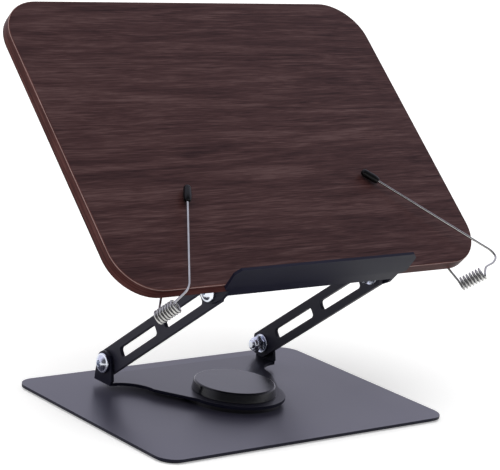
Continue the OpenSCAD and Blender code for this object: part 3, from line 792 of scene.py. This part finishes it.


# %% [markdown]
# The coil is the same ring, spun round the coil's axis while it moves along it, which is what the spin
# operator's step vector is for. The axis leans out of the board, 62 degrees on the left and 47 degrees
# on the right, and the number of turns differs because one spring is wound up further. A short lead at
# each end joins the coil to the tail and the arm. The coil stays in the frame of the scene and rides on
# no body.

# %% Coils, tails and arms
COIL_R, COIL_DROP = 4.2, 14.5
TAIL_GAP, TAIL_TOP, TAIL_STRAIGHT, LEAD = 0.2, 34.0, 3.0, 0.8
TAIL_N = -(BOARD_T + WIRE_D / 2 + TAIL_GAP)
TAIL_CORNER = -COIL_DROP + LEAD + TAIL_STRAIGHT
TURN_STEPS = 32
TIP_LEN, TIP_GRIP = 14.0, 9.0
UP = Vector((0, 1, 0))
CLIPS = {
    "left_clip": dict(x=-133, angle=62, turns=7.375, pitch=2.05, lean=33, tip=(-76, 75.6, 3.1),
                      bends=[(-119.3, -6.1, 7.8), (-114.9, -1.9, 7.7)]),
    "right_clip": dict(x=133, angle=47, turns=7.25, pitch=2.4, lean=-18, tip=(81, 79.2, 3.1),
                       bends=[(142.6, -13.6, 7.8), (145, -10.8, 8), (154.4, -8.2, 8), (160.1, -3.8, 7.9),
                              (159, 1.6, 7.8)]),
}


def coil_places(clip):
    """The coil's axis and foot, its first and last points, and the wire's run at the last one."""
    angle = math.radians(clip["angle"])
    axis = Vector((math.cos(angle), 0, math.sin(angle)))
    side = Vector((-math.sin(angle), 0, math.cos(angle)))
    foot = Vector((clip["x"], -COIL_DROP, TAIL_N)) + COIL_R * side
    wound = 2 * math.pi * clip["turns"]
    inward = math.cos(wound) * side + math.sin(wound) * UP
    last = foot + axis * clip["pitch"] * clip["turns"] - COIL_R * inward
    run = math.sin(wound) * side - math.cos(wound) * UP
    return dict(axis=axis, foot=foot, first=foot - COIL_R * side, last=last, run=run)


def tail_x(clip, u):
    """Where a tail is across the board at a height."""
    return clip["x"] + math.tan(math.radians(clip["lean"])) * (u - TAIL_CORNER)


def wind_coil(body, clip):
    """The coil, with a short straight lead at each end."""
    coil = coil_places(clip)
    axis, foot, first, last = coil["axis"], coil["foot"], coil["first"], coil["last"]
    bm = bmesh.new()
    start = on_board(first + UP * LEAD)
    ring = draw_wire(bm, wire_ring(bm, start, -along_board(UP)), [start, on_board(first)])
    ring_verts = list(dict.fromkeys(v for e in ring for v in e.verts))
    steps = round(clip["turns"] * TURN_STEPS)
    world_axis = along_board(axis)
    spun = bmesh.ops.spin(bm, geom=ring + ring_verts, cent=on_board(foot), axis=-world_axis,
                          dvec=world_axis * clip["pitch"] * MM / TURN_STEPS,
                          angle=2 * math.pi * clip["turns"], steps=steps)
    ring = [g for g in spun["geom_last"] if isinstance(g, bmesh.types.BMEdge)]
    draw_wire(bm, ring, [on_board(last), on_board(last + coil["run"] * LEAD)])
    close_wire(bm)
    piece = add_piece(body + "_coil_wound", bm, spring_wire, None, "spring_wire", body + "_coil")
    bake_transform(piece)
    return piece


def bend_tail(body, clip):
    """The tail, from the coil up behind the board."""
    first = coil_places(clip)["first"]
    top = (tail_x(clip, TAIL_TOP), TAIL_TOP, TAIL_N)
    path = rounded_route([first + UP * LEAD, (clip["x"], TAIL_CORNER, TAIL_N), top])
    bm = bmesh.new()
    draw_wire(bm, wire_ring(bm, path[0], along_board(UP)), path)
    close_wire(bm)
    return add_piece(body + "_tail_wire", bm, spring_wire, "board", "spring_wire", body + "_tail")


def bend_arm(body, clip):
    """The arm, from the coil to its grip inside the rubber tip."""
    coil = coil_places(clip)
    run = coil["run"]
    end, before = Vector(clip["tip"]), Vector(clip["bends"][-1])
    stop = end - (end - before).normalized() * (TIP_LEN - TIP_GRIP)
    start = coil["last"] + run * LEAD
    path = rounded_route([start, start + run * BEND_CUT, *clip["bends"], stop])
    bm = bmesh.new()
    draw_wire(bm, wire_ring(bm, path[0], along_board(run)), path)
    close_wire(bm)
    return add_piece(body + "_arm_wire", bm, spring_wire, body, "spring_wire", body + "_arm")


for body, clip in CLIPS.items():
    for make in (wind_coil, bend_tail, bend_arm):
        piece = make(body, clip)
        print(piece.name, "faces", len(piece.data.polygons))

# %% [markdown]
# A strap over each tail holds the clip. Its two screws stand across the tail, so they turn with its
# lean.

# %% Clamp screws
CLAMP_T, CLAMP_U, CLAMP_SCREW_OFF = 3.6, 22.0, 8.0
clamp_spots = []
for clip in CLIPS.values():
    slope = math.radians(clip["lean"])
    for off in (-CLAMP_SCREW_OFF, CLAMP_SCREW_OFF):
        across = tail_x(clip, CLAMP_U) + off * math.cos(slope)
        clamp_spots.append((across, CLAMP_U - off * math.sin(slope)))
drive_screws("clamp_screws_crossed", "clamp_screws", clamp_spots, -BOARD_T - CLAMP_T,
             pan_screw(head_r=2.5, head_t=1.5, shank_r=1.4, length=CLAMP_T + SCREW_END))

# %% [markdown]
# The rubber tip is a bullet that is pushed over the end of the wire. It is widest near its open end,
# which tapers to the wire. The lathe from above makes it too, from a profile with a round taper and a
# quarter circle. Places along it count back from its point, which a last small face closes.

# %% Rubber tips
TIP_R, TIP_MOUTH_R, TIP_DOME_R = 2.8, 1.6, 2.6
TIP_WIDEST, TIP_SIDE = -9.0, (-6.0, 2.73)
TIP_MOUTH = ((0.4, 1.2), (0.05, 1.35))
TAPER_STEPS, TIP_DOME_STEPS = 6, 9
mouth = [(-TIP_LEN + deep, radius) for deep, radius in TIP_MOUTH]
taper = quarter((TIP_WIDEST, TIP_MOUTH_R), (-TIP_LEN - TIP_WIDEST, TIP_R - TIP_MOUTH_R), TAPER_STEPS)
tip_dome = quarter((-TIP_DOME_R, 0), (TIP_DOME_R, TIP_DOME_R), TIP_DOME_STEPS)[1:]
TIP_PROFILE = [*mouth, *taper, TIP_SIDE, *reversed(tip_dome)]
for body, clip in CLIPS.items():
    bm = bmesh.new()
    heading = along_board(Vector(clip["tip"]) - Vector(clip["bends"][-1]))
    turned(bm, on_board(clip["tip"]), heading, TIP_PROFILE)
    bmesh.ops.recalc_face_normals(bm, faces=bm.faces)
    piece = add_piece(body + "_tip_rubber", bm, rubber, body, "rubber", body + "_tip")
    print(piece.name, "faces", len(piece.data.polygons))

# %% [markdown]
# ## Studio
# The stand is shown on white paper under soft light. A wide sun from above throws a soft shadow, and it
# lights the floor evenly, because it has no falloff. The world is a cool white studio that is dark in
# front of the stand, as the room behind a camera is. That darkness gives bright wire its dark streaks
# and keeps the walls that look at the reader darker than the tops. Light Path tells which rays see the
# studio at full strength: those of the camera and of mirrors. As a lamp it is weaker, so colours render
# about as they are written.

# %% Light
LAMP_WHITE, LAMP_STRENGTH = (1, 1, 1), 0.6
STUDIO_WHITE, STUDIO_STRENGTH = (0.84, 0.83, 1.0), 1.0
ROOM_DARK = (0.09, 0.09, 0.1)
ROOM_FRONT = Vector((-0.40, -0.88, 0.25)).normalized()
WHITE_UNTIL, DARK_FROM = 0.05, 0.65
SUN_ENERGY = 2.0
SUN_SIZE = math.radians(70)
SUN_LEAN, SUN_ROLL = math.radians(12), math.radians(-18)
scene.view_settings.view_transform = "Standard"


def seen_rays(tree):
    """1 for rays of the camera, of mirrors and of glass, 0 for light that is scattered."""
    rays = tree.nodes.new("ShaderNodeLightPath")
    total = rays.outputs["Is Camera Ray"]
    for kind in ("Is Glossy Ray", "Is Transmission Ray"):
        add = tree.nodes.new("ShaderNodeMath")
        add.operation = "ADD"
        add.use_clamp = True
        tree.links.new(total, add.inputs[0])
        tree.links.new(rays.outputs[kind], add.inputs[1])
        total = add.outputs[0]
    return total


world = bpy.data.worlds.new("studio_world")
scene.world = world
world.use_nodes = True
sky = world.node_tree
sky.nodes.clear()
frontness = sky.nodes.new("ShaderNodeVectorMath")
frontness.operation = "DOT_PRODUCT"
frontness.inputs[1].default_value = ROOM_FRONT
sky.links.new(sky.nodes.new("ShaderNodeTexCoord").outputs["Generated"], frontness.inputs[0])
choice = sky.nodes.new("ShaderNodeMixShader")
sky.links.new(seen_rays(sky), choice.inputs[0])
for branch, white, strength in ((1, LAMP_WHITE, LAMP_STRENGTH), (2, STUDIO_WHITE, STUDIO_STRENGTH)):
    background = sky.nodes.new("ShaderNodeBackground")
    background.inputs["Strength"].default_value = strength
    room = ramp(sky, frontness.outputs["Value"], [(WHITE_UNTIL, white), (DARK_FROM, ROOM_DARK)])
    sky.links.new(room, background.inputs["Color"])
    sky.links.new(background.outputs[0], choice.inputs[branch])
sky.links.new(choice.outputs[0], sky.nodes.new("ShaderNodeOutputWorld").inputs["Surface"])

sun_data = bpy.data.lights.new("overhead_softbox", "SUN")
sun_data.energy = SUN_ENERGY
sun_data.angle = SUN_SIZE
sun = bpy.data.objects.new("overhead_softbox", sun_data)
scene.collection.objects.link(sun)
sun.rotation_euler = (SUN_LEAN, SUN_ROLL, 0)
sun.visible_glossy = False
print("sun", sun_data.energy, "sky nodes", len(sky.nodes))

# %% [markdown]
# The floor is one large pale sheet. Its colour is nearly white, and a trace of light that only the
# camera and mirrors see lifts it to the white of the paper, so the shadow under the stand stays.

# %% Floor
FLOOR_HALF_M = 12
PAPER_WAVES, PAPER_ROUGH, PAPER_GLOW = 3, 0.9, 0.36
PAPER_DARK, PAPER_LIGHT = (0.90, 0.90, 0.90), (0.92, 0.92, 0.92)
bm = bmesh.new()
bmesh.ops.create_grid(bm, x_segments=1, y_segments=1, size=FLOOR_HALF_M)
floor_mesh = bpy.data.meshes.new("studio_floor")
bm.to_mesh(floor_mesh)
bm.free()
floor = bpy.data.objects.new("studio_floor", floor_mesh)
scene.collection.objects.link(floor)
floor_white, tree, shader, place = new_finish("floor_white")
paper = two_tones(tree, noise(tree, place, PAPER_WAVES, detail=2), PAPER_DARK, PAPER_LIGHT)
tree.links.new(paper, shader.inputs["Base Color"])
shader.inputs["Roughness"].default_value = PAPER_ROUGH
shader.inputs["Specular IOR Level"].default_value = 0
glow = tree.nodes.new("ShaderNodeEmission")
glow_level = tree.nodes.new("ShaderNodeMath")
glow_level.operation = "MULTIPLY"
glow_level.inputs[1].default_value = PAPER_GLOW
tree.links.new(seen_rays(tree), glow_level.inputs[0])
tree.links.new(glow_level.outputs[0], glow.inputs["Strength"])
both = tree.nodes.new("ShaderNodeAddShader")
tree.links.new(shader.outputs[0], both.inputs[0])
tree.links.new(glow.outputs[0], both.inputs[1])
tree.links.new(both.outputs[0], tree.nodes["Material Output"].inputs["Surface"])
floor_mesh.materials.append(floor_white)
print("floor", FLOOR_HALF_M * 2, "m wide")
